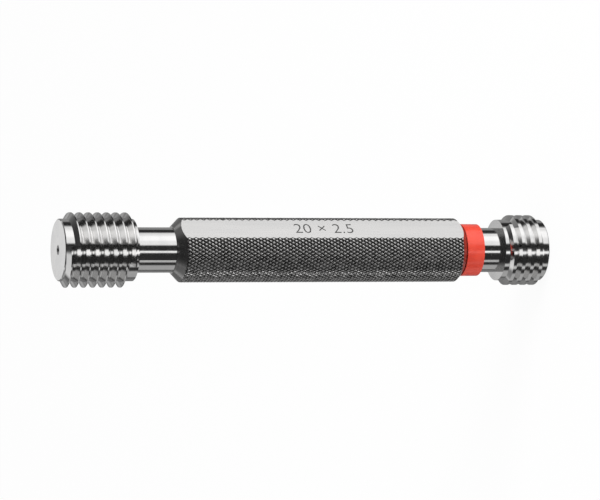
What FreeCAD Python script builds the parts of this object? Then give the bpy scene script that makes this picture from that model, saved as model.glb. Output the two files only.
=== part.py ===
"""Double-ended thread plug gauge: round handle, GO member, NO-GO member and red marking ring.

The gauge stands on the end face of its NO-GO member, with the GO member up. The origin is the
centre of that end face and +Z is the common axis. Lengths are millimetres, angles are degrees.
"""
import FreeCAD, Part

import math
import os
import re

import Sketcher
from FreeCAD import Rotation, Vector

SIZES = {
    # Round handle with one milled flat, whose end faces stand a margin outside the necks
    "handle_length": 82.6,
    "handle_diameter": 17.4,
    "handle_face_margin": 0.25,
    "handle_chamfer_angle": 45.0,
    "flat_depth": 0.92,
    "flat_turn": -43.5,
    # Press fit of a member's shank in a bore, the same at both ends of the handle
    "shank_diameter": 10.0,
    "shank_length": 20.0,
    "bore_clearance": 0.01,
    "bore_end_gap": 1.0,
    # Thread form shared by both members: metric 60 degree form, right hand
    "thread_pitch": 2.5,
    "thread_angle": 60.0,
    "ridge_foot_depth": 0.4,
    # GO member
    "go_head_length": 20.2,
    "go_neck_length": 10.85,
    "go_major_diameter": 20.0,
    "go_crest_flat": 0.31,
    "go_root_flat": 0.23,
    "go_start_land": 0.1,
    "go_end_land": 0.1,
    "go_thread_turn": -117.0,
    # NO-GO member
    "no_go_head_length": 12.75,
    "no_go_neck_length": 10.1,
    "no_go_major_diameter": 19.2,
    "no_go_crest_flat": 0.94,
    "no_go_root_flat": 0.1,
    "no_go_start_land": 0.8,
    "no_go_end_land": 0.35,
    "no_go_thread_turn": -43.0,
    # Turned details shared by both members
    "neck_diameter": 12.1,
    "rim_chamfer": 0.25,
    "centre_diameter": 2.65,
    "centre_angle": 60.0,
    "centre_pilot_diameter": 1.25,
    "centre_pilot_depth": 1.3,
    # Red ring
    "ring_length": 4.85,
    "ring_clearance": 0.03,
    "ring_seat": 0.5,
    "ring_lip": 0.3,
}

doc = FreeCAD.newDocument("thread_plug_gauge")
sheet = doc.addObject("Spreadsheet::Sheet", "Sizes")
for row, (alias, number) in enumerate(SIZES.items(), start=1):
    sheet.set(f"A{row}", alias)
    sheet.set(f"B{row}", str(number))
    sheet.setAlias(f"B{row}", alias)
doc.recompute()


def sized(text):
    """Turn the size names in a formula into references to the spreadsheet."""
    return re.sub(r"[a-z_]+", lambda word: f"Sizes.{word[0]}" if word[0] in SIZES else word[0], text)


def value(text):
    """Number that a formula of size names gives now."""
    return float(sheet.evalExpression(sized(text)))


# Formulas that several sketches share
HANDLE_RADIUS = "(handle_diameter / 2)"
HANDLE_FACE_RADIUS = "(neck_diameter / 2 + handle_face_margin)"
SHANK_RADIUS = "(shank_diameter / 2)"
NECK_RADIUS = "(neck_diameter / 2)"
FLANK_SLOPE = "tan(thread_angle / 2 * 1 deg)"
CHAMFER_SLOPE = "tan(handle_chamfer_angle * 1 deg)"


def origin_item(body, role):
    """Plane or axis of a body's own origin."""
    return next(item for item in body.Origin.OriginFeatures if item.Role == role)


def new_body(name):
    """Empty body whose label names its file."""
    body = doc.addObject("PartDesign::Body", name)
    body.Label = name
    return body


def new_sketch(body, name, role):
    """Sketch on one of the body's own origin planes."""
    sketch = body.newObject("Sketcher::SketchObject", name)
    sketch.AttachmentSupport = [(origin_item(body, role), "")]
    sketch.MapMode = "FlatFace"
    return sketch


def bind(sketch, kind, *places_and_formula):
    """Add a dimension to a sketch and bind it to a formula of size names."""
    *places, formula = places_and_formula
    index = sketch.addConstraint(Sketcher.Constraint(kind, *places, value(formula)))
    sketch.setExpression(f"Constraints[{index}]", sized(formula))


def half_section(body, name, corners):
    """Closed outline beside the turning axis, each corner a pair of formulas (radius, height).

    A corner on the axis has the radius "0", and one on the base plane has the height "0".
    """
    sketch = new_sketch(body, name, "XZ_Plane")
    points = [Vector(value(radius), value(height), 0) for radius, height in corners]
    for index, point in enumerate(points):
        sketch.addGeometry(Part.LineSegment(point, points[(index + 1) % len(points)]))
    for index, (radius, height) in enumerate(corners):
        previous = (index - 1) % len(corners)
        sketch.addConstraint(Sketcher.Constraint("Coincident", previous, 2, index, 1))
        if radius == "0":
            sketch.addConstraint(Sketcher.Constraint("PointOnObject", index, 1, -2))
        else:
            bind(sketch, "DistanceX", -1, 1, index, 1, radius)
        if height == "0":
            sketch.addConstraint(Sketcher.Constraint("PointOnObject", index, 1, -1))
        else:
            bind(sketch, "DistanceY", -1, 1, index, 1, height)
    return sketch


def turn(body, name, sketch):
    """Full revolution of a half section."""
    feature = body.newObject("PartDesign::Revolution", name)
    feature.Profile = sketch
    feature.ReferenceAxis = (sketch, ["V_Axis"])
    feature.Angle = 360
    doc.recompute()
    body.Tip = feature


def make_handle():
    """Round bar from its lower end upwards: chamfered ends, a blind bore in each, one milled flat."""
    body = new_body("handle")
    bore_radius = f"({SHANK_RADIUS} + bore_clearance)"
    bore_depth = "(shank_length + bore_end_gap)"
    chamfer_height = f"(({HANDLE_RADIUS} - {HANDLE_FACE_RADIUS}) * {CHAMFER_SLOPE})"
    section = half_section(body, "BarSketch", [
        ("0", bore_depth),
        (bore_radius, bore_depth),
        (bore_radius, "0"),
        (HANDLE_FACE_RADIUS, "0"),
        (HANDLE_RADIUS, chamfer_height),
        (HANDLE_RADIUS, f"handle_length - {chamfer_height}"),
        (HANDLE_FACE_RADIUS, "handle_length"),
        (bore_radius, "handle_length"),
        (bore_radius, f"handle_length - {bore_depth}"),
        ("0", f"handle_length - {bore_depth}"),
    ])
    turn(body, "TurnedBar", section)

    # The flat is milled along the whole bar: everything beyond it on the +X side goes
    sketch = new_sketch(body, "FlatSketch", "XY_Plane")
    near = value(f"{HANDLE_RADIUS} - flat_depth")
    far = value("handle_diameter")
    corners = [Vector(near, -far, 0), Vector(far, -far, 0), Vector(far, far, 0), Vector(near, far, 0)]
    for index in range(4):
        sketch.addGeometry(Part.LineSegment(corners[index], corners[(index + 1) % 4]))
        sketch.addConstraint(Sketcher.Constraint("Horizontal" if index % 2 == 0 else "Vertical", index))
    for index in range(4):
        sketch.addConstraint(Sketcher.Constraint("Coincident", index, 2, (index + 1) % 4, 1))
    bind(sketch, "DistanceX", -1, 1, 0, 1, f"{HANDLE_RADIUS} - flat_depth")
    bind(sketch, "DistanceX", -1, 1, 0, 2, "handle_diameter")
    bind(sketch, "DistanceY", 0, 1, -1, 1, "handle_diameter")
    bind(sketch, "DistanceY", -1, 1, 2, 1, "handle_diameter")
    flat = body.newObject("PartDesign::Pocket", "MilledFlat")
    flat.Profile = sketch
    flat.Type = "ThroughAll"
    flat.Reversed = True
    doc.recompute()
    body.Tip = flat
    return body


def make_member(name, prefix):
    """Gauge member from its shank's tip upwards: shank, neck and threaded head.

    The prefix picks the sizes of one member: its head, its neck and its own thread form.
    """
    body = new_body(name)
    shoulder = "shank_length"
    head = f"({shoulder} + {prefix}_neck_length)"
    end = f"({head} + {prefix}_head_length)"

    crest_radius = f"({prefix}_major_diameter / 2)"
    half_crest = f"({prefix}_crest_flat / 2)"
    half_foot = f"((thread_pitch - {prefix}_root_flat) / 2)"
    root_radius = f"({crest_radius} - ({half_foot} - {half_crest}) / {FLANK_SLOPE})"

    centre_depth = "(centre_diameter - centre_pilot_diameter) / 2 / tan(centre_angle / 2 * 1 deg)"
    pilot_bottom = f"{end} - {centre_depth} - centre_pilot_depth"
    section = half_section(body, "TurnedSketch", [
        ("0", "0"),
        (SHANK_RADIUS, "0"),
        (SHANK_RADIUS, shoulder),
        (NECK_RADIUS, shoulder),
        (NECK_RADIUS, head),
        (root_radius, head),
        (root_radius, f"{end} - rim_chamfer"),
        (f"{root_radius} - rim_chamfer", end),
        ("centre_diameter / 2", end),
        ("centre_pilot_diameter / 2", f"{end} - {centre_depth}"),
        ("centre_pilot_diameter / 2", pilot_bottom),
        ("0", pilot_bottom),
    ])
    turn(body, "Turned", section)

    # One ridge of the thread, wound so that a land is left plain at both faces of the head
    buried_radius = f"({root_radius} - ridge_foot_depth)"
    first = f"({head} + {prefix}_start_land + {half_foot})"
    ridge_sketch = half_section(body, "RidgeSketch", [
        (buried_radius, f"{first} - {half_foot}"),
        (root_radius, f"{first} - {half_foot}"),
        (crest_radius, f"{first} - {half_crest}"),
        (crest_radius, f"{first} + {half_crest}"),
        (root_radius, f"{first} + {half_foot}"),
        (buried_radius, f"{first} + {half_foot}"),
    ])
    ridge = body.newObject("PartDesign::AdditiveHelix", "ThreadRidge")
    ridge.Profile = ridge_sketch
    ridge.ReferenceAxis = (ridge_sketch, ["V_Axis"])
    ridge.Mode = "pitch-height-angle"
    ridge.setExpression("Pitch", sized("thread_pitch"))
    travel = f"{prefix}_head_length - {prefix}_start_land - {prefix}_end_land - 2 * {half_foot}"
    ridge.setExpression("Height", sized(travel))
    ridge.LeftHanded = False
    ridge.Reversed = False
    doc.recompute()
    body.Tip = ridge
    return body


def make_ring():
    """Ring pushed along the neck: its bore ends in a cone that fits over the handle's chamfer."""
    body = new_body("red_ring")
    bore_radius = f"({NECK_RADIUS} + ring_clearance)"
    seat_radius = f"({HANDLE_FACE_RADIUS} + ring_seat / {CHAMFER_SLOPE})"
    outer_radius = f"({seat_radius} + ring_lip)"
    section = half_section(body, "RingSketch", [
        (bore_radius, "0"),
        (outer_radius, "0"),
        (outer_radius, "ring_length"),
        (seat_radius, "ring_length"),
        (HANDLE_FACE_RADIUS, "ring_length - ring_seat"),
        (bore_radius, "ring_length - ring_seat"),
    ])
    turn(body, "Turned", section)
    return body


def place(body, height, turn_angle="0", tilt_angle="0"):
    """Put a body on the common axis at a height, tilted about X and then turned about the axis."""
    base = f"vector(0; 0; {height})"
    turned = f"rotation(vector(0; 0; 1); {turn_angle})"
    tilted = f"rotation(vector(1; 0; 0); {tilt_angle})"
    body.setExpression("Placement", sized(f"placement({base}; {turned} * {tilted})"))


handle = make_handle()
go_member = make_member("go_member", "go")
no_go_member = make_member("no_go_member", "no_go")
red_ring = make_ring()

LOWER_SHOULDER = "(no_go_head_length + no_go_neck_length)"
place(handle, LOWER_SHOULDER, "flat_turn")
place(go_member, f"{LOWER_SHOULDER} + handle_length - shank_length", "go_thread_turn")
place(no_go_member, f"{LOWER_SHOULDER} + shank_length", "no_go_thread_turn", "180")
place(red_ring, f"{LOWER_SHOULDER} - ring_length + ring_seat")
doc.recompute()

for item in doc.Objects:
    if "Invalid" in item.State or "Error" in item.State:
        raise RuntimeError(f"{item.Name} failed: {item.State}")

os.makedirs("parts", exist_ok=True)
for body in (handle, go_member, no_go_member, red_ring):
    if body.Shape.isNull() or not body.Shape.isValid() or len(body.Shape.Solids) != 1:
        raise RuntimeError(f"{body.Label} is not one valid solid")
    body.Shape.exportStep(f"parts/{body.Label}.step")
    box = body.Shape.BoundBox
    print(f"{body.Label}: {body.Shape.Volume:.1f} mm3, z {box.ZMin:.3f} to {box.ZMax:.3f},"
          f" x {box.XMin:.3f} to {box.XMax:.3f}")
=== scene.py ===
"""Looks of the double-ended thread plug gauge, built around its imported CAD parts.

Metres, in the frame of the row: +Z is the common axis and the NO-GO member's end face is at z = 0.
Sizes of the handle and its marking are in millimetres.
"""

import math
import random

import bmesh
import bpy
from mathutils import Matrix, Vector


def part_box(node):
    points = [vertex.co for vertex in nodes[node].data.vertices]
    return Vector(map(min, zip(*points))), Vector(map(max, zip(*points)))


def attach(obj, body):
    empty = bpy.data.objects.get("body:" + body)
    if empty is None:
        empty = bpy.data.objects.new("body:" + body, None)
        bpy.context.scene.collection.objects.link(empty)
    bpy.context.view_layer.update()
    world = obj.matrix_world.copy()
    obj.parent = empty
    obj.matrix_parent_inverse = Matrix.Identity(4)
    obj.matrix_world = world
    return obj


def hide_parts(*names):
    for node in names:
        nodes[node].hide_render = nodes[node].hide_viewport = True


MM = 0.001

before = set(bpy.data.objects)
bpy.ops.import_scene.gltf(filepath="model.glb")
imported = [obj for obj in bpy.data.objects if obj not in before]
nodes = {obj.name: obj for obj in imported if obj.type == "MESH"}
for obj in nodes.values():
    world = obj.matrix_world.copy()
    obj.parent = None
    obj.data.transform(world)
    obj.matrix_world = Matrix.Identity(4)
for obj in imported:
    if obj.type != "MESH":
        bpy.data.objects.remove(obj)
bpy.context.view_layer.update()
scene = bpy.context.scene
scene.view_settings.view_transform = "Standard"
rng = random.Random(20)

# ---------------------------------------------------------------- sizes of the handle, in mm
handle_low, handle_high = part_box("handle")
HANDLE_BASE = handle_low.z / MM
HANDLE_TOP = handle_high.z / MM
HANDLE_MIDDLE = (HANDLE_BASE + HANDLE_TOP) / 2
HANDLE_RADIUS = max(-handle_low.x, handle_high.y) / MM
FACE_RADIUS = 6.3          # where the 45 degree chamfers meet the end faces
BORE_RADIUS = 5.01
BORE_DEPTH = 21.0
FLAT_DEPTH = 0.92
FLAT_DISTANCE = HANDLE_RADIUS - FLAT_DEPTH
FLAT_ANGLE = math.radians(-43.5)
FLAT_NORMAL = Vector((math.cos(FLAT_ANGLE), math.sin(FLAT_ANGLE), 0.0))

# Knurl: diamonds with their long way along the axis, each with a domed crest
KNURL_COUNT = 54           # diamonds in one turn
KNURL_LENGTH = 1.8
KNURL_DEPTH = 0.3
KNURL_WEAR = 0.02          # how much lower the lowest crests are
KNURL_CREST = 0.5          # width of a crest over the width of its diamond
KNURL_CREST_SPREAD = (0.85, 1.15)
KNURL_CROWN = 0.045        # how much a crest is domed
KNURL_CROWN_SPREAD = (0.75, 1.25)
RUBBED_FROM = 0.22         # depths below the surface between which the steel is rubbed bright
RUBBED_TO = 0.08

# Places of the turned ends' and the flat's material among the handle's; the knurl's is the first
TURNED = 1
MILLED = 2

CUT_TOLERANCE = 1e-5
MERGE_DISTANCE = 1e-4

# Marking: plain numbers of the thread's diameter and pitch
MARKING = "20 × 2.5"
MARKING_SIZE = 5.1
MARKING_THINNING = 0.055   # how much each side of a stroke is drawn in
MARKING_THICKNESS = 0.004  # to each side of its own plane
MARKING_LIFT = 0.005

# ---------------------------------------------------------------- shader helpers
WIDE = (0.3, 0.7)          # the range that nearly all of a noise fills
NARROW = (0.35, 0.65)      # the same with more contrast
WHOLE = (0.0, 1.0)
FADE_OUT = (1.0, 0.0)      # levels that fall from 1 to 0
# Sockets that a mix node uses for colours
MIX_FACTOR = 0
MIX_FIRST = 6
MIX_SECOND = 7
MIX_RESULT = 2


class Shader:
    """The nodes of a material or world under construction."""

    def __init__(self, tree):
        self.tree = tree
        tree.nodes.clear()

    def add(self, kind, **settings):
        node = self.tree.nodes.new(kind)
        for name, setting in settings.items():
            setattr(node, name, setting)
        return node

    def feed(self, socket, source):
        """Link a socket, or set it where the source is a plain number or colour."""
        if isinstance(source, bpy.types.NodeSocket):
            self.tree.links.new(source, socket)
        else:
            socket.default_value = source

    def math(self, operation, first, *rest):
        """Apply an operation to one value, or to two or more in a row."""
        result = first
        for source in rest or (0.0,):
            node = self.add("ShaderNodeMath", operation=operation)
            self.feed(node.inputs[0], result)
            self.feed(node.inputs[1], source)
            result = node.outputs[0]
        return result

    def spread(self, value, edge, levels=WHOLE):
        """Smooth step from one level to the other, as a value crosses a soft edge."""
        node = self.add("ShaderNodeMapRange", interpolation_type="SMOOTHSTEP")
        self.feed(node.inputs["Value"], value)
        node.inputs["From Min"].default_value, node.inputs["From Max"].default_value = edge
        node.inputs["To Min"].default_value, node.inputs["To Max"].default_value = levels
        return node.outputs["Result"]

    def between(self, value, rise, fall):
        """1 between two soft edges and 0 outside them."""
        return self.math("MULTIPLY", self.spread(value, rise), self.spread(value, fall, FADE_OUT))

    def point(self):
        """The shaded point, in the object's own frame."""
        return self.add("ShaderNodeTexCoord").outputs["Object"]

    def coordinates(self):
        """X, Y and Z of the shaded point, one by one."""
        node = self.add("ShaderNodeSeparateXYZ")
        self.feed(node.inputs[0], self.point())
        return node.outputs

    def noise(self, where, scale, detail):
        node = self.add("ShaderNodeTexNoise")
        self.feed(node.inputs["Vector"], where)
        node.inputs["Scale"].default_value = scale
        node.inputs["Detail"].default_value = detail
        return node.outputs[0]

    def grain(self, scale):
        """Even noise, the same in all directions."""
        return self.noise(self.point(), scale, 3.0)

    def streaks(self, along, across, detail):
        """Noise drawn out into lines, by its scales along the gauge's axis and across it."""
        mapping = self.add("ShaderNodeMapping")
        mapping.inputs["Scale"].default_value = (across, across, along)
        self.feed(mapping.inputs["Vector"], self.point())
        return self.noise(mapping.outputs[0], 1.0, detail)

    def tint(self, factor, first, second):
        node = self.add("ShaderNodeMix", data_type="RGBA")
        self.feed(node.inputs[MIX_FACTOR], factor)
        self.feed(node.inputs[MIX_FIRST], first)
        self.feed(node.inputs[MIX_SECOND], second)
        return node.outputs[MIX_RESULT]

    def bump(self, height, strength, distance):
        node = self.add("ShaderNodeBump")
        node.inputs["Strength"].default_value = strength
        node.inputs["Distance"].default_value = distance
        self.feed(node.inputs["Height"], height)
        return node.outputs[0]

    def output(self, surface, kind="ShaderNodeOutputMaterial"):
        self.feed(self.add(kind).inputs["Surface"], surface.outputs[0])

    def glow(self, strength):
        """A surface that only gives light."""
        emission = self.add("ShaderNodeEmission")
        self.feed(emission.inputs["Strength"], strength)
        self.output(emission)

    def surface(self, colour, roughness, normal=None, metallic=1.0, specular=0.5):
        """An ordinary surface, of bare metal unless told otherwise."""
        node = self.add("ShaderNodeBsdfPrincipled")
        node.inputs["Metallic"].default_value = metallic
        node.inputs["Specular IOR Level"].default_value = specular
        self.feed(node.inputs["Base Color"], colour)
        self.feed(node.inputs["Roughness"], roughness)
        if normal:
            self.feed(node.inputs["Normal"], normal)
        self.output(node)


def grey(level, warmth=0.0):
    """Nearly neutral colour; warmth lifts red and drops blue by that share."""
    return (level * (1 + warmth), level, level * (1 - warmth), 1.0)


def new_material(name):
    material = bpy.data.materials.new(name)
    material.use_nodes = True
    return material, Shader(material.node_tree)


def add_object(name, data):
    thing = bpy.data.objects.new(name, data)
    scene.collection.objects.link(thing)
    return thing


def paint(node, material):
    for slot in nodes[node].material_slots:
        slot.material = material


# ---------------------------------------------------------------- materials of the gauge
def ground_steel():
    """Hardened steel, ground round the axis: fine lines round it and a faint uneven tone."""
    material, s = new_material("gauge_steel_ground")
    tone = s.spread(s.grain(240.0), NARROW)
    s.surface(
        colour=s.tint(tone, grey(0.725, 0.004), grey(0.775, 0.008)),
        roughness=s.spread(s.streaks(9000.0, 60.0, 2.0), WIDE, (0.07, 0.14)),
        normal=s.bump(s.streaks(6000.0, 25.0, 3.0), 0.10, 0.02 * MM),
    )
    return material


def knurl_steel():
    """Dark steel in the grooves of the knurl, rubbed brighter towards its crests."""
    material, s = new_material("knurl_steel")
    x, y, _ = s.coordinates()
    radius = s.math("SQRT", s.math("ADD", s.math("MULTIPLY", x, x), s.math("MULTIPLY", y, y)))
    edge = ((HANDLE_RADIUS - RUBBED_FROM) * MM, (HANDLE_RADIUS - RUBBED_TO) * MM)
    patchy = s.spread(s.grain(900.0), WIDE, (0.75, 1.0))
    rubbed = s.math("MULTIPLY", s.spread(radius, edge), patchy)
    s.surface(
        colour=s.tint(rubbed, grey(0.20, 0.01), grey(0.76, 0.01)),
        roughness=s.spread(s.grain(1500.0), WIDE, (0.14, 0.26)),
        normal=s.bump(s.grain(4000.0), 0.15, 0.03 * MM),
    )
    return material


def turned_steel():
    """The handle's turned chamfers, end faces and bores: dark, with fine turning lines."""
    material, s = new_material("turned_steel")
    tone = s.spread(s.grain(500.0), NARROW)
    s.surface(
        colour=s.tint(tone, grey(0.36, 0.01), grey(0.42, 0.01)),
        roughness=s.spread(s.streaks(7000.0, 40.0, 2.0), WIDE, (0.10, 0.20)),
        normal=s.bump(s.streaks(5000.0, 20.0, 3.0), 0.15, 0.03 * MM),
    )
    return material


def milled_steel():
    """The ground flat: light and satin, with faint grinding lines along the handle."""
    material, s = new_material("milled_steel")
    tone = s.spread(s.streaks(30.0, 300.0, 4.0), WIDE)
    s.surface(
        colour=s.tint(tone, grey(0.88, 0.006), grey(0.92, 0.010)),
        roughness=s.spread(s.streaks(60.0, 4000.0, 3.0), WIDE, (0.17, 0.21)),
    )
    return material


def marking_grey():
    """Etched marks: flat dark grey with a grain."""
    material, s = new_material("marking_grey")
    grain = s.spread(s.grain(3000.0), WIDE)
    s.surface(
        colour=s.tint(grain, grey(0.035), grey(0.075)),
        roughness=s.spread(grain, WHOLE, (0.5, 0.7)),
        metallic=0.0,
    )
    return material


def red_plastic():
    """Glossy moulded plastic with a slightly uneven gloss and a faint orange-peel surface."""
    material, s = new_material("red_plastic")
    tone = s.spread(s.grain(300.0), WIDE)
    s.surface(
        colour=s.tint(tone, (0.76, 0.062, 0.036, 1), (0.82, 0.076, 0.044, 1)),
        roughness=s.spread(s.grain(700.0), WIDE, (0.16, 0.24)),
        normal=s.bump(s.grain(900.0), 0.06, 0.05 * MM),
        metallic=0.0,
        specular=0.6,
    )
    return material


# ---------------------------------------------------------------- knurled handle
def knurl_sheet(mesh):
    """Add the diamonds, unrolled: x is the angle times the radius, y the radius and z the height."""
    half_width = math.pi * HANDLE_RADIUS / KNURL_COUNT
    half_length = KNURL_LENGTH / 2
    first = int(HANDLE_BASE / half_length) - 1
    last = int(HANDLE_TOP / half_length) + 2
    grooves = {}

    def groove(step, turn):
        """Vertex at a crossing of the grooves, made when it is first asked for."""
        if (step, turn) not in grooves:
            place = (turn * half_width, HANDLE_RADIUS - KNURL_DEPTH, step * half_length)
            grooves[step, turn] = mesh.verts.new(place)
        return grooves[step, turn]

    for step in range(first, last + 1):
        for turn in range(2 * KNURL_COUNT):
            if (step + turn) % 2 == 0:
                continue
            around = [(step - 1, turn), (step, turn + 1), (step + 1, turn), (step, turn - 1)]
            corners = [groove(*crossing) for crossing in around]
            share = KNURL_CREST * rng.uniform(*KNURL_CREST_SPREAD)
            peak = mesh.verts.new((turn * half_width, HANDLE_RADIUS - rng.uniform(0.0, KNURL_WEAR),
                                   step * half_length))
            crest = peak.co.y - KNURL_CROWN * rng.uniform(*KNURL_CROWN_SPREAD)
            top = []
            for corner in corners:
                offset = corner.co - peak.co
                place = (peak.co.x + share * offset.x, crest, peak.co.z + share * offset.z)
                top.append(mesh.verts.new(place))
            for index in range(4):
                after = (index + 1) % 4
                mesh.faces.new((top[index], top[after], peak)).smooth = True
                mesh.faces.new((corners[index], corners[after], top[after], top[index]))


def cut_off(mesh, spot, outward):
    """Cut away what lies outside a plane, and return the edges of the cut."""
    cut = bmesh.ops.bisect_plane(
        mesh, geom=mesh.verts[:] + mesh.edges[:] + mesh.faces[:], dist=CUT_TOLERANCE,
        plane_co=spot, plane_no=outward, clear_outer=True)
    return [item for item in cut["geom_cut"] if isinstance(item, bmesh.types.BMEdge)]


def turn_end(mesh, base, inward):
    """Cut the sheet where an end's chamfer meets it, and add the chamfer, end face and bore."""
    edges = cut_off(mesh, (0.0, FACE_RADIUS, base), (0.0, 1.0, -inward))
    outline = [
        (FACE_RADIUS, base),
        (BORE_RADIUS, base),
        (BORE_RADIUS, base + inward * BORE_DEPTH),
        (0.0, base + inward * BORE_DEPTH),
    ]
    for radius, height in outline:
        moved = {}
        for edge in edges:
            for corner in edge.verts:
                if corner not in moved:
                    moved[corner] = mesh.verts.new((corner.co.x, radius, height))
        for edge in edges:
            start, end = edge.verts
            mesh.faces.new((start, end, moved[end], moved[start])).material_index = TURNED
        edges = [mesh.edges.get([moved[corner] for corner in edge.verts]) for edge in edges]


def wrap(mesh):
    """Roll the sheet up round the axis and join its two sides."""
    for corner in mesh.verts:
        angle = corner.co.x / HANDLE_RADIUS
        radius, height = corner.co.y, corner.co.z
        corner.co = (radius * math.cos(angle), radius * math.sin(angle), height)
    bmesh.ops.remove_doubles(mesh, verts=mesh.verts, dist=MERGE_DISTANCE)


def mill_flat(mesh):
    """Cut the flat along the whole handle and close it."""
    edges = cut_off(mesh, FLAT_NORMAL * FLAT_DISTANCE, FLAT_NORMAL)
    filled = bmesh.ops.triangle_fill(mesh, edges=edges, use_beauty=True, normal=FLAT_NORMAL)
    for face in filled["geom"]:
        if isinstance(face, bmesh.types.BMFace):
            face.material_index = MILLED


def make_handle(materials):
    """The handle with its knurl. Its materials are the knurl's, the turned ends' and the flat's."""
    mesh = bmesh.new()
    knurl_sheet(mesh)
    turn_end(mesh, HANDLE_BASE, 1.0)
    turn_end(mesh, HANDLE_TOP, -1.0)
    wrap(mesh)
    mill_flat(mesh)
    bmesh.ops.recalc_face_normals(mesh, faces=mesh.faces)
    bmesh.ops.scale(mesh, vec=(MM, MM, MM), verts=mesh.verts)
    data = bpy.data.meshes.new("knurled_handle")
    mesh.to_mesh(data)
    mesh.free()
    for material in materials:
        data.materials.append(material)
    return add_object("knurled_handle", data)


def make_marking(material):
    """The numbers, laid on the flat and read with the GO end on the left."""
    letters = bpy.data.curves.new("marking", "FONT")
    letters.body = MARKING
    letters.align_x = "CENTER"
    letters.align_y = "CENTER"
    letters.size = MARKING_SIZE * MM
    letters.offset = -MARKING_THINNING * MM
    letters.extrude = MARKING_THICKNESS * MM
    writer = add_object("marking_text", letters)
    bpy.context.view_layer.update()
    data = bpy.data.meshes.new_from_object(writer)
    bpy.data.objects.remove(writer)
    data.name = "size_marking"
    data.materials.clear()
    data.materials.append(material)
    spot = (FLAT_NORMAL * (FLAT_DISTANCE + MARKING_LIFT) + Vector((0, 0, HANDLE_MIDDLE))) * MM
    reading = Vector((0, 0, -1))
    turned = Matrix((reading, FLAT_NORMAL.cross(reading), FLAT_NORMAL)).transposed().to_4x4()
    data.transform(Matrix.Translation(spot) @ turned)
    return add_object("size_marking", data)


handle = make_handle([knurl_steel(), turned_steel(), milled_steel()])
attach(handle, "root")
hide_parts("handle")
marking = make_marking(marking_grey())
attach(marking, "root")

steel = ground_steel()
paint("go_member", steel)
paint("no_go_member", steel)
paint("red_ring", red_plastic())

# ---------------------------------------------------------------- studio, seen only by gloss
# A round wall with a ceiling and a pit. A soft edge is a pair: where it starts and where it ends.
WALL_RADIUS = 0.6
WALL_LOW = -1.3
WALL_HIGH = 0.36
WALL_SIDES = 96
PIT_GLOW = 0.06
# Places of the ceiling's and the pit's material; the wall's is the first
CEILING = 1
PIT = 2

# The wall's panels: start and end angle from the front (-Y) towards +X, width of edge, glow
PANELS = [
    (-180, -128, 6, 0.21),
    (-122, -84, 7, 0.43),
    (-65, -54, 6, 0.62),
    (-14, -5, 5, 1.24),
    (24, 46, 6, 1.02),
    (46, 78, 14, 1.25),
    (78, 97, 10, 0.95),
    (126, 180, 8, 0.29),
]
BETWEEN_PANELS = 0.03
BRIGHTEST = 1.6            # glow that the colour ramp's white stands for
# The bright side panels round this angle end below
KEY_ANGLE = 58
KEY_REACH = (36, 50)
KEY_FOOT = (-0.40, -0.34)
KEY_REST = 0.12            # share of their glow that is left below
# At the bottom the front strip is wider, and as bright as the ramp's white
STRIP_ANGLE = -9.5
STRIP_REACH = (9, 15)
STRIP_TOP = (-0.34, -0.24)
# The wall above the gauge's middle: dim in front, a little lighter behind, with one panel there
UPPER_WALL = (0.10, 0.20)
UPPER_SIDES = (60, 100)
UPPER_GLOW = (0.03, 0.24)
BACK_REACH = (12, 22)
BACK_HEIGHT = (0.18, 0.32)
BACK_GLOW = (0.12, 0.62)

# The ceiling: one panel behind on the left, and soft light from both sides, from the back and,
# brighter, from where these meet
CEILING_BASE = 0.05
CEILING_PANEL = 0.72
CEILING_PANEL_X = ((-0.22, -0.17), (-0.04, -0.015))
CEILING_PANEL_Y = ((0.01, 0.04), (0.19, 0.27))
CEILING_SIDES = (0.10, 0.26)
CEILING_SIDES_GLOW = 0.20
CEILING_BACK = (0.30, 0.48)
CEILING_BACK_GLOW = 0.10
CEILING_CORNERS_X = (0.29, 0.35)
CEILING_CORNERS_Y = (0.18, 0.26)
CEILING_CORNERS_GLOW = 0.35


def panel_stops():
    """Angles and glows of the wall's panels all the way round."""
    stops = [(-180.0, PANELS[0][3])]
    for index, (start, end, edge, glow) in enumerate(PANELS):
        joined_before = index > 0 and PANELS[index - 1][1] == start
        joined_after = index + 1 < len(PANELS) and PANELS[index + 1][0] == end
        if start > -180:
            if not joined_before:
                stops.append((start - edge / 2, BETWEEN_PANELS))
            stops.append((start + edge / 2, glow))
        if end < 180:
            stops.append((end - edge / 2, glow))
            if not joined_after:
                stops.append((end + edge / 2, BETWEEN_PANELS))
    stops.append((180.0, PANELS[-1][3]))
    return stops


def panel_ramp(s, angle):
    """Glow of the panels at an angle, as a share of the brightest."""
    ramp = s.add("ShaderNodeValToRGB")
    s.feed(ramp.inputs[0], s.math("ADD", s.math("DIVIDE", angle, 360), 0.5))
    elements = ramp.color_ramp.elements
    elements.remove(elements[1])
    first, *others = panel_stops()
    elements[0].position = 0.0
    elements[0].color = grey(first[1] / BRIGHTEST)
    for degrees, glow in others:
        elements.new(degrees / 360 + 0.5).color = grey(glow / BRIGHTEST)
    return ramp.outputs[0]


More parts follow.
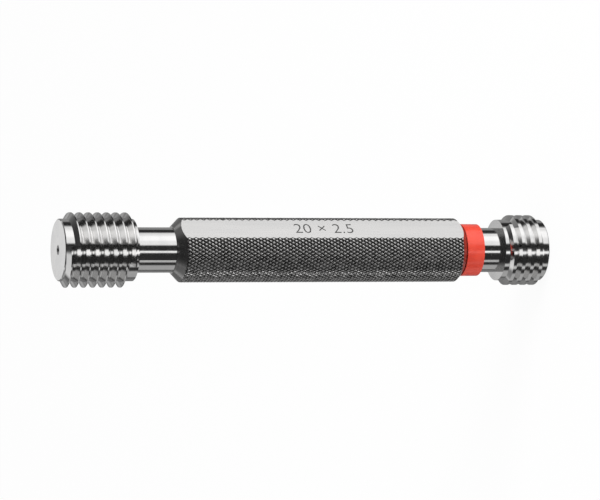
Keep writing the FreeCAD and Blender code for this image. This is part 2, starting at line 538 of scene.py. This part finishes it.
def wall_material():
    material, s = new_material("studio_wall")
    x, y, z = s.coordinates()
    angle = s.math("DEGREES", s.math("ARCTAN2", x, s.math("MULTIPLY", y, -1.0)))

    off_key = s.math("ABSOLUTE", s.math("SUBTRACT", angle, KEY_ANGLE))
    kept = s.math("MAXIMUM", s.spread(z, KEY_FOOT), s.spread(off_key, KEY_REACH), KEY_REST)
    off_strip = s.math("ABSOLUTE", s.math("SUBTRACT", angle, STRIP_ANGLE))
    strip = s.math("MULTIPLY", s.spread(off_strip, STRIP_REACH, FADE_OUT), s.spread(z, STRIP_TOP, FADE_OUT))
    panels = s.math("MULTIPLY", panel_ramp(s, angle), kept)
    lower = s.math("MULTIPLY", s.math("MAXIMUM", panels, strip), BRIGHTEST)

    aside = s.math("ABSOLUTE", angle)
    off_back = s.math("SUBTRACT", 180, aside)
    back = s.math("MULTIPLY", s.spread(off_back, BACK_REACH, FADE_OUT), s.spread(z, BACK_HEIGHT, BACK_GLOW))
    upper = s.math("ADD", back, s.spread(aside, UPPER_SIDES, UPPER_GLOW))

    s.glow(s.math("ADD", s.math("MULTIPLY", lower, s.spread(z, UPPER_WALL, FADE_OUT)),
                  s.math("MULTIPLY", upper, s.spread(z, UPPER_WALL))))
    return material


def ceiling_material():
    material, s = new_material("studio_ceiling")
    x, y, _ = s.coordinates()
    aside = s.math("ABSOLUTE", x)
    panel = s.math("MULTIPLY", s.between(x, *CEILING_PANEL_X), s.between(y, *CEILING_PANEL_Y), CEILING_PANEL)
    sides = s.math("MULTIPLY", s.spread(aside, CEILING_SIDES), CEILING_SIDES_GLOW)
    back = s.math("MULTIPLY", s.spread(y, CEILING_BACK), CEILING_BACK_GLOW)
    corners = s.math("MULTIPLY", s.spread(aside, CEILING_CORNERS_X), s.spread(y, CEILING_CORNERS_Y),
                     CEILING_CORNERS_GLOW)
    s.glow(s.math("ADD", panel, sides, back, corners, CEILING_BASE))
    return material


def pit_material():
    material, s = new_material("studio_pit")
    s.glow(PIT_GLOW)
    return material


def only_for_glossy(thing):
    thing.visible_camera = False
    thing.visible_diffuse = False
    thing.visible_shadow = False
    thing.visible_transmission = False
    thing.visible_volume_scatter = False


def make_studio():
    """Panels that only the gloss of the gauge sees, all round, above and below it."""
    mesh = bmesh.new()
    turns = [2 * math.pi * index / WALL_SIDES for index in range(WALL_SIDES)]
    low, high = [[mesh.verts.new((WALL_RADIUS * math.cos(turn), WALL_RADIUS * math.sin(turn), height))
                  for turn in turns] for height in (WALL_LOW, WALL_HIGH)]
    for index in range(WALL_SIDES):
        after = (index + 1) % WALL_SIDES
        mesh.faces.new((low[index], low[after], high[after], high[index]))
    mesh.faces.new(high).material_index = CEILING
    mesh.faces.new(low).material_index = PIT
    data = bpy.data.meshes.new("studio_wall")
    mesh.to_mesh(data)
    mesh.free()
    for material in (wall_material(), ceiling_material(), pit_material()):
        data.materials.append(material)
    wall = add_object("studio_wall", data)
    only_for_glossy(wall)


# ---------------------------------------------------------------- white surroundings and lamp
FLOOR_HALF = 8.0
FLOOR_GREY = 0.96
FLOOR_GLOW = 0.93          # share of plain white in the floor as it is seen; the rest takes shadows
WORLD_LIGHT = (0.68, 1.0)  # the white world as light, and as it is seen
LAMP_PLACE = Vector((0.85, -0.55, 0.65))
LAMP_AIM = Vector((0, 0, 0.07))
LAMP_DIAMETER = 0.7
LAMP_WATTS = 9.0


def seen_directly(s):
    """1 for camera, glossy and transmission rays, 0 for the rest."""
    rays = s.add("ShaderNodeLightPath").outputs
    return s.math("MAXIMUM", rays["Is Camera Ray"], rays["Is Glossy Ray"], rays["Is Transmission Ray"])


def make_floor():
    """White floor that keeps a faint shadow of the gauge."""
    material, s = new_material("floor_white")
    plain = s.add("ShaderNodeBsdfDiffuse")
    plain.inputs["Color"].default_value = grey(FLOOR_GREY)
    mix = s.add("ShaderNodeMixShader")
    s.feed(mix.inputs[0], s.math("MULTIPLY", seen_directly(s), FLOOR_GLOW))
    s.feed(mix.inputs[1], plain.outputs[0])
    s.feed(mix.inputs[2], s.add("ShaderNodeEmission").outputs[0])
    s.output(mix)
    corners = [(x * FLOOR_HALF, y * FLOOR_HALF, 0) for x, y in ((-1, -1), (1, -1), (1, 1), (-1, 1))]
    data = bpy.data.meshes.new("floor")
    data.from_pydata(corners, [], [(0, 1, 2, 3)])
    data.materials.append(material)
    floor = add_object("floor", data)
    floor.visible_glossy = False


def make_world():
    world = bpy.data.worlds.new("studio_world")
    scene.world = world
    world.use_nodes = True
    s = Shader(world.node_tree)
    background = s.add("ShaderNodeBackground")
    background.inputs["Color"].default_value = grey(1.0)
    s.feed(background.inputs["Strength"], s.spread(seen_directly(s), WHOLE, WORLD_LIGHT))
    s.output(background, "ShaderNodeOutputWorld")


def make_lamp():
    data = bpy.data.lights.new("key_lamp", "AREA")
    data.shape = "DISK"
    data.size = LAMP_DIAMETER
    data.energy = LAMP_WATTS
    lamp = add_object("key_lamp", data)
    lamp.location = LAMP_PLACE
    lamp.rotation_euler = (LAMP_AIM - LAMP_PLACE).to_track_quat("-Z", "Y").to_euler()
    lamp.visible_glossy = False
    lamp.visible_camera = False


# ---------------------------------------------------------------- camera, rolled a quarter turn
CAMERA_PLACE = (0.0, -0.93968, 0.37635)
LOOK_DOWN = math.radians(18.1)
FOCAL_LENGTH = 219.7
SENSOR_WIDTH = 36.0
CLIP_START = 0.01


def make_camera():
    """Camera in front of the gauge, with +X at the top of its picture."""
    forward = Vector((0, math.cos(LOOK_DOWN), -math.sin(LOOK_DOWN)))
    upward = Vector((1, 0, 0))
    facing = Matrix((forward.cross(upward), upward, -forward)).transposed().to_4x4()
    lens = bpy.data.cameras.new("camera")
    lens.lens = FOCAL_LENGTH
    lens.sensor_width = SENSOR_WIDTH
    lens.clip_start = CLIP_START
    camera = add_object("camera", lens)
    camera.matrix_world = Matrix.Translation(CAMERA_PLACE) @ facing
    scene.camera = camera


make_studio()
make_floor()
make_world()
make_lamp()
make_camera()

bpy.context.view_layer.update()
